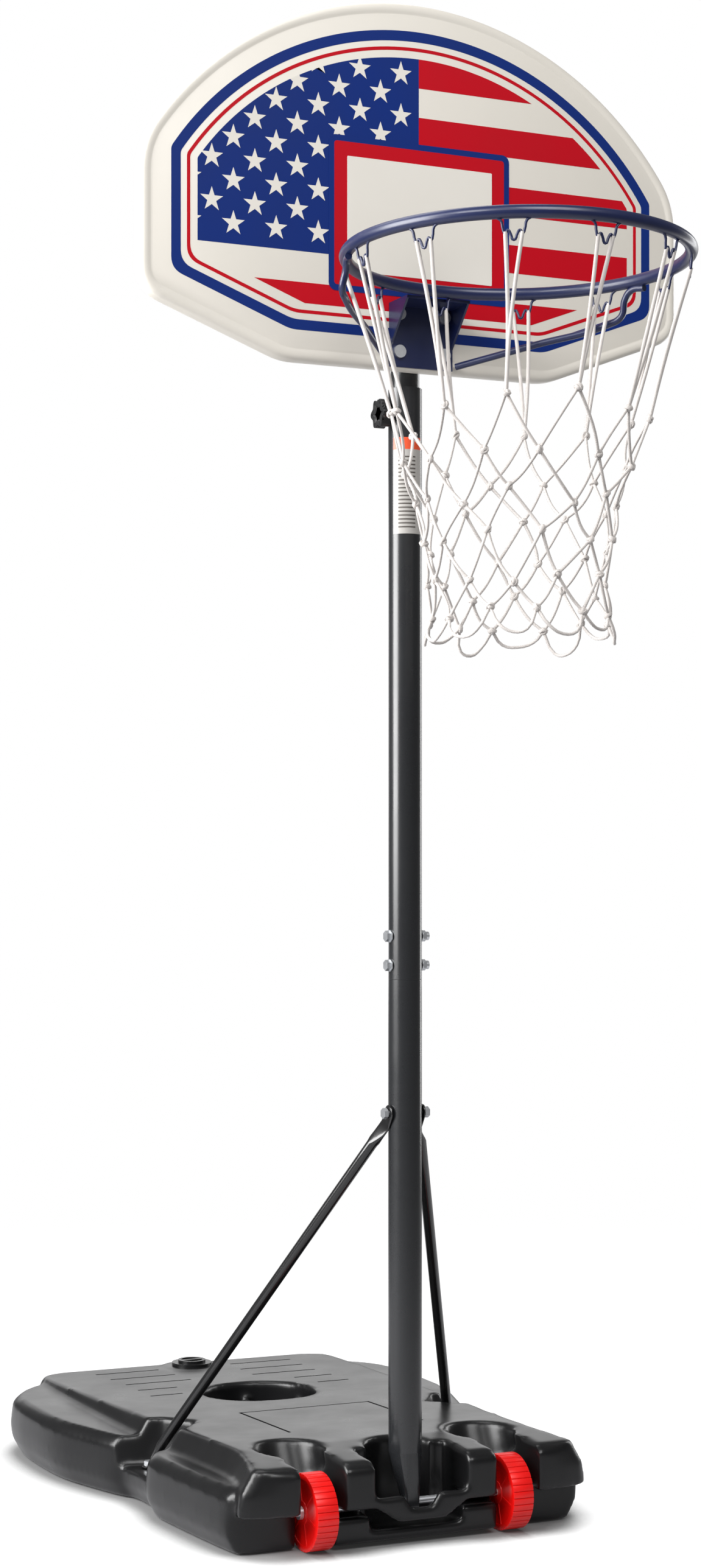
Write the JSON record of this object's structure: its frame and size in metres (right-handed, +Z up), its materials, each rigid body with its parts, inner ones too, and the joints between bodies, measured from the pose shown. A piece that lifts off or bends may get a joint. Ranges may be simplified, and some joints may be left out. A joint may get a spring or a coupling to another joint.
{
  "type": "portable basketball hoop",
  "caption": "Free-standing basketball hoop: weighted wheeled base tank, strutted telescoping pole, arched backboard, rim and net.",
  "frame": {"origin": "middle of the assembly's bounding box on the floor", "axes": "+Z up along the pole, -Y the way the rim points, +X to the right seen from the front"},
  "size_m": [0.792, 1.361, 2.04],
  "materials": {
    "tank_hdpe": "satin blow-moulded polyethylene",
    "ballast": "water, sealed in",
    "gasket_rubber": "matte",
    "zinc_steel": "bright zinc plated",
    "wheel_red": "semi-gloss moulded",
    "powder_coat": "satin powder coat",
    "black_enamel": "gloss enamel",
    "knob_plastic": "satin moulded",
    "board_hdpe": "satin polyethylene with printed film",
    "rim_navy": "gloss powder coat",
    "net_nylon": "braided nylon cord"
  },
  "bodies": {
    "base": {"base_tank": "tank_hdpe", "ballast_fill": "ballast", "cap_gasket": "gasket_rubber", "wheel_axle": "zinc_steel", "axle_retainers": "zinc_steel", "lower_pole": "powder_coat", "middle_pole": "powder_coat", "guide_bush": "knob_plastic", "clamp_nut": "powder_coat", "pole_bolts": "zinc_steel", "pole_bolt_washers": "zinc_steel", "pole_bolt_nuts": "zinc_steel", "strut_left": "black_enamel", "strut_right": "black_enamel", "strut_bolt": "zinc_steel", "strut_nut": "zinc_steel", "strut_foot_bolts": "zinc_steel"},
    "board_carriage": {"upper_pole": "powder_coat", "upper_pole_plug": "knob_plastic", "backboard": "board_hdpe", "rear_bracket": "powder_coat", "rear_straps": "powder_coat", "upper_strap": "powder_coat", "upper_strap_screws": "zinc_steel", "rim_ring": "rim_navy", "rim_bracket": "rim_navy", "rim_brace_left": "rim_navy", "rim_brace_right": "rim_navy", "net_hooks": "rim_navy", "rim_bolts": "zinc_steel", "rim_bolt_nuts": "zinc_steel", "net": "net_nylon"},
    "wheel_left_body": {"wheel_left": "wheel_red"},
    "wheel_right_body": {"wheel_right": "wheel_red"},
    "clamp": {"height_knob": "knob_plastic", "knob_stud": "zinc_steel"},
    "cap": {"filler_cap": "tank_hdpe"}
  },
  "joints": [
    {"name": "height_slide", "type": "slide", "parent": "base", "child": "board_carriage", "axis": [0, 0, 1], "range_m": [0, 0.45]},
    {"name": "wheel_left_spin", "type": "hinge", "parent": "base", "child": "wheel_left_body", "pos_m": [-0.144, -0.1665, 0.051], "axis": [1, 0, 0], "continuous": true},
    {"name": "wheel_right_spin", "type": "hinge", "parent": "base", "child": "wheel_right_body", "pos_m": [0.144, -0.1665, 0.051], "axis": [1, 0, 0], "continuous": true},
    {"name": "clamp_turn", "type": "hinge", "parent": "base", "child": "clamp", "pos_m": [-0.04, -0.1495, 1.503], "axis": [1, 0, 0], "continuous": true},
    {"name": "cap_turn", "type": "hinge", "parent": "base", "child": "cap", "pos_m": [0, 0.6225, 0.097], "axis": [0, 0, 1], "range_deg": [0, 540]}
  ]
}
